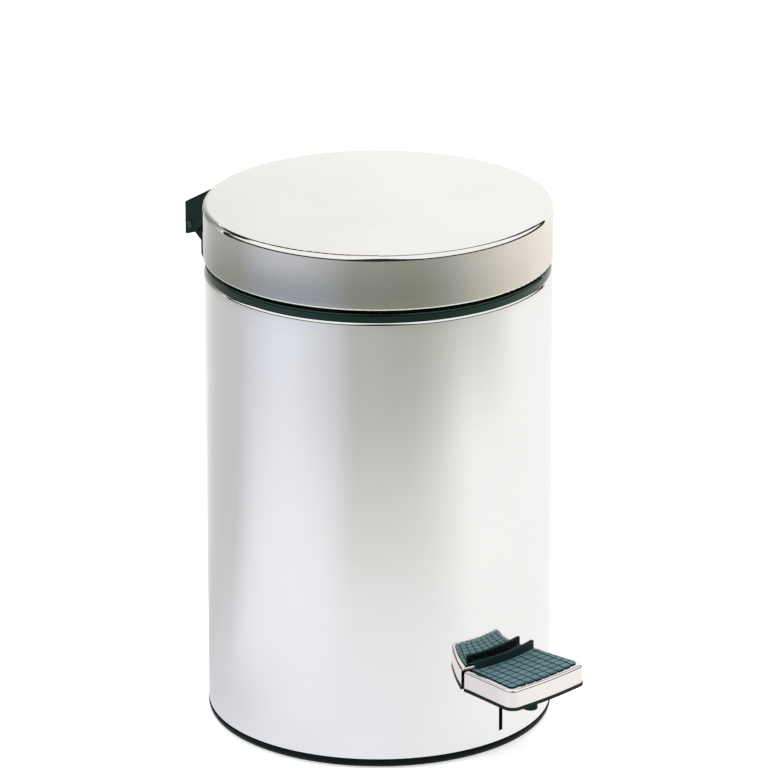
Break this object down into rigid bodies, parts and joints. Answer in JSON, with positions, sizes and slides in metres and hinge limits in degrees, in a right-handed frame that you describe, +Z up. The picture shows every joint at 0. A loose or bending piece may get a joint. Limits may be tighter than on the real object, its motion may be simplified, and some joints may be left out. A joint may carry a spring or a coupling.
{
  "type": "pedal bin",
  "caption": "Round polished steel pedal bin with a hinged lid, a foot pedal linkage and a lift-out plastic bucket.",
  "frame": {"origin": "on the floor, at the middle of the base ring", "axes": "+Z up along the shell's axis, -Y towards the pedal, +Y towards the lid's hinge"},
  "size_m": [0.1686, 0.2215, 0.2624],
  "materials": {
    "shell_steel": "polished",
    "lid_steel": "satin polished",
    "pedal_steel": "polished",
    "black_plastic": "fine grained",
    "rim_plastic": "semi gloss",
    "tread_rubber": "matt",
    "bucket_plastic": "moulded",
    "linkage_steel": "zinc plated",
    "pin_steel": "black oxide",
    "hardware_steel": "plain",
    "bush_plastic": "moulded"
  },
  "bodies": {
    "shell": {"body_shell": "shell_steel", "rim_ring": "rim_plastic", "base_cup": "black_plastic", "body_hinge_bracket": "black_plastic", "body_hinge_rivets": "hardware_steel", "hinge_pin": "pin_steel", "hinge_pin_cap": "pin_steel", "rod_guide": "linkage_steel", "fulcrum_bracket": "linkage_steel", "fulcrum_screws": "hardware_steel", "fulcrum_pin": "hardware_steel"},
    "lid": {"lid_shell": "lid_steel", "lid_hinge_cover": "black_plastic", "lid_hinge_rivets": "hardware_steel", "lift_finger": "linkage_steel", "finger_rivet": "hardware_steel"},
    "pedal": {"pedal_lever": "linkage_steel", "fulcrum_bush": "bush_plastic", "pedal_tray": "black_plastic", "pedal_shell": "pedal_steel", "pedal_pad": "tread_rubber", "pedal_rivets": "hardware_steel"},
    "rod": {"lift_rod": "linkage_steel"},
    "bucket": {"inner_bucket": "bucket_plastic"},
    "bail": {"bail_handle": "linkage_steel"}
  },
  "joints": [
    {"name": "pedal_press", "type": "hinge", "parent": "shell", "child": "pedal", "pos_m": [0, -0.021, 0.025], "axis": [1, 0, 0], "range_deg": [0, 17]},
    {"name": "lid_open", "type": "hinge", "parent": "shell", "child": "lid", "pos_m": [0, 0.0987, 0.2325], "axis": [-1, 0, 0], "range_deg": [0, 67.78]},
    {"name": "rod_swing", "type": "hinge", "parent": "pedal", "child": "rod", "pos_m": [0, 0.07691, 0.01037], "axis": [1, 0, 0], "range_deg": [-17, 0]},
    {"name": "bucket_lift", "type": "slide", "parent": "shell", "child": "bucket", "axis": [0, 0, 1], "range_m": [0, 0.009]},
    {"name": "bail_swing", "type": "hinge", "parent": "bucket", "child": "bail", "pos_m": [0, 0, 0.2328], "axis": [-1, 0, 0], "range_deg": [0, 10]}
  ],
  "couplings": [
    {"joint": "lid_open", "follows": "pedal_press", "ratio": 3.9867},
    {"joint": "rod_swing", "follows": "pedal_press", "ratio": -1}
  ]
}
